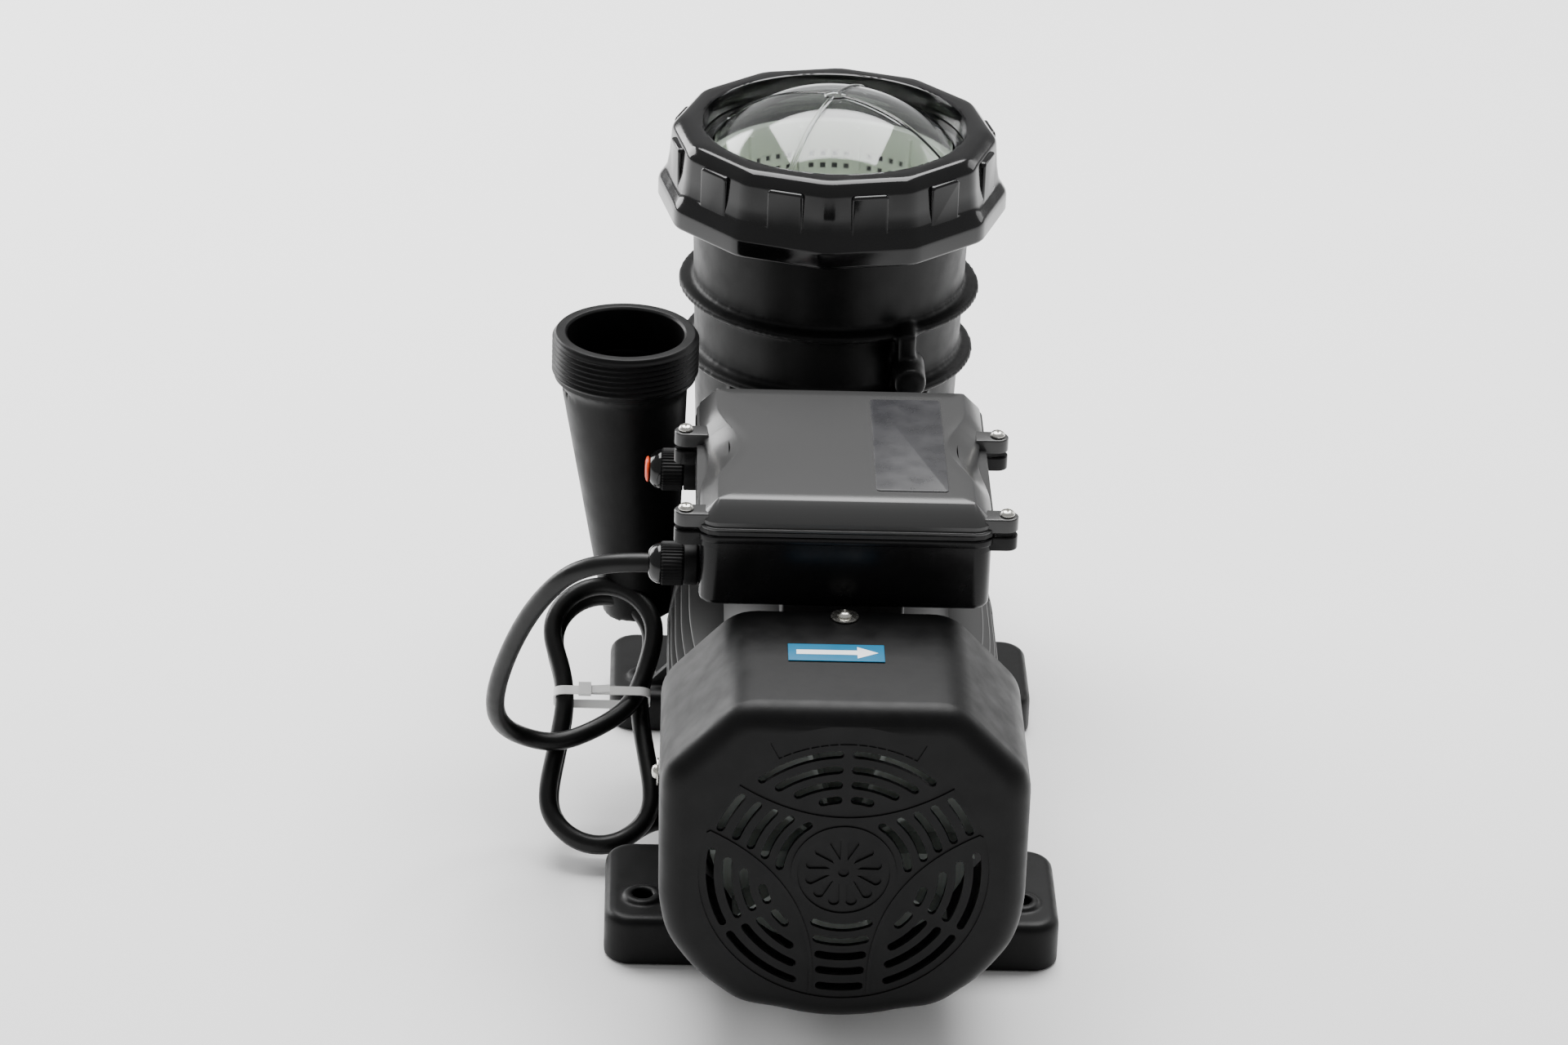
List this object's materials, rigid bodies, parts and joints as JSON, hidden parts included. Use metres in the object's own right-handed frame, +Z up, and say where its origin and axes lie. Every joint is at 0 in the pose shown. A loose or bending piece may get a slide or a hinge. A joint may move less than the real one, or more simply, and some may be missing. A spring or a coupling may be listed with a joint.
{
  "type": "pool pump",
  "caption": "Pool circulation pump with a finned electric motor, a threaded discharge port, a strainer pot under a clear screwed lid, and a mains lead.",
  "frame": {"origin": "on the floor under the middle of the pump, the lead left out", "axes": "+Y along the motor shaft from the fan cover to the suction port, +Z up, +X to the right seen from the fan cover"},
  "size_m": [0.2884, 0.5752, 0.3256],
  "materials": {
    "cover_plastic": "fine satin mould texture",
    "screw_steel": "zinc plated",
    "fan_plastic": "plain grey-green moulding",
    "motor_paint": "satin black paint on cast aluminium",
    "shield_paint": "satin black paint",
    "laminations": "stacked electrical steel",
    "copper_winding": "varnished copper wire",
    "bearing_steel": "ground",
    "shaft_steel": "turned stainless steel",
    "pump_plastic": "fine matt mould texture, glass filled",
    "seal_ceramic": "ground ceramic",
    "seal_rubber": "moulded",
    "impeller_plastic": "plain",
    "diffuser_plastic": "plain",
    "drain_plastic": "plain",
    "ring_plastic": "glossy black",
    "clear_lid": "clear polycarbonate",
    "basket_plastic": "pale translucent",
    "foot_plastic": "fine matt mould texture",
    "box_plastic": "semi-gloss",
    "box_lid_plastic": "satin top, glossy edges",
    "gland_plastic": "knurled",
    "plug_red": "signal orange-red",
    "capacitor_case": "drawn can",
    "terminal_plastic": "plain",
    "rating_plate": "dark foil without text",
    "arrow_label": "teal foil with a white arrow",
    "cord_rubber": "smooth black sheath",
    "tie_white": "white nylon",
    "plug_plastic": "moulded",
    "pin_steel": "nickel plated"
  },
  "bodies": {
    "root": {"fan_cover": "cover_plastic", "fan_cover_screw_top": "screw_steel", "fan_cover_screw_left": "screw_steel", "fan_cover_screw_right": "screw_steel", "fan_cover_screw_bottom": "screw_steel", "box_screw_left_1": "screw_steel", "box_screw_left_2": "screw_steel", "box_screw_right_1": "screw_steel", "box_screw_right_2": "screw_steel", "pot_bolt_left": "screw_steel", "pot_bolt_right": "screw_steel", "motor_housing": "motor_paint", "rear_end_shield": "shield_paint", "front_end_shield": "shield_paint", "stator_core": "laminations", "winding_rear": "copper_winding", "winding_front": "copper_winding", "front_bearing": "bearing_steel", "rear_bearing": "bearing_steel", "seal_plate": "pump_plastic", "volute_casing": "pump_plastic", "strainer_pot": "pump_plastic", "shaft_seal_seat": "seal_ceramic", "junction_box_gasket": "seal_rubber", "diffuser": "diffuser_plastic", "motor_foot": "foot_plastic", "pump_foot": "foot_plastic", "junction_box_base": "box_plastic", "junction_box_lid": "box_lid_plastic", "cord_gland_body": "gland_plastic", "cord_gland_nut": "gland_plastic", "spare_gland_body": "gland_plastic", "spare_gland_nut": "gland_plastic", "blanking_plug": "plug_red", "run_capacitor": "capacitor_case", "terminal_block": "terminal_plastic", "rating_plate": "rating_plate", "direction_label": "arrow_label", "power_cord": "cord_rubber", "cord_tail": "cord_rubber", "cord_hank": "cord_rubber", "cable_tie": "tie_white", "mains_plug": "plug_plastic", "plug_pin_left": "pin_steel", "plug_pin_right": "pin_steel"},
    "rotor": {"motor_shaft": "shaft_steel", "rotor_core": "laminations", "cooling_fan": "fan_plastic", "impeller": "impeller_plastic", "shaft_seal_head": "seal_rubber"},
    "lid": {"clear_lid": "clear_lid", "lid_seal": "seal_rubber"},
    "lock_ring": {"lid_lock_ring": "ring_plastic"},
    "basket": {"strainer_basket": "basket_plastic"},
    "drain": {"drain_plug": "drain_plastic", "drain_plug_seal": "seal_rubber"}
  },
  "joints": [
    {"name": "rotor_spin", "type": "hinge", "parent": "root", "child": "rotor", "pos_m": [0, 0, 0.1055], "axis": [0, 1, 0], "continuous": true},
    {"name": "lid_lift", "type": "slide", "parent": "root", "child": "lid", "axis": [0, 0, 1], "range_m": [0, 0.3]},
    {"name": "ring_turn", "type": "hinge", "parent": "lid", "child": "lock_ring", "pos_m": [0, 0.1536, 0.29], "axis": [0, 0, 1], "range_deg": [0, 120]},
    {"name": "basket_lift", "type": "slide", "parent": "root", "child": "basket", "axis": [0, 0, 1], "range_m": [0, 0.15]},
    {"name": "drain_out", "type": "slide", "parent": "root", "child": "drain", "axis": [1, 0, 0], "range_m": [0, 0.03]}
  ],
  "couplings": [
    {"joint": "basket_lift", "follows": "lid_lift", "ratio": 0.5}
  ]
}
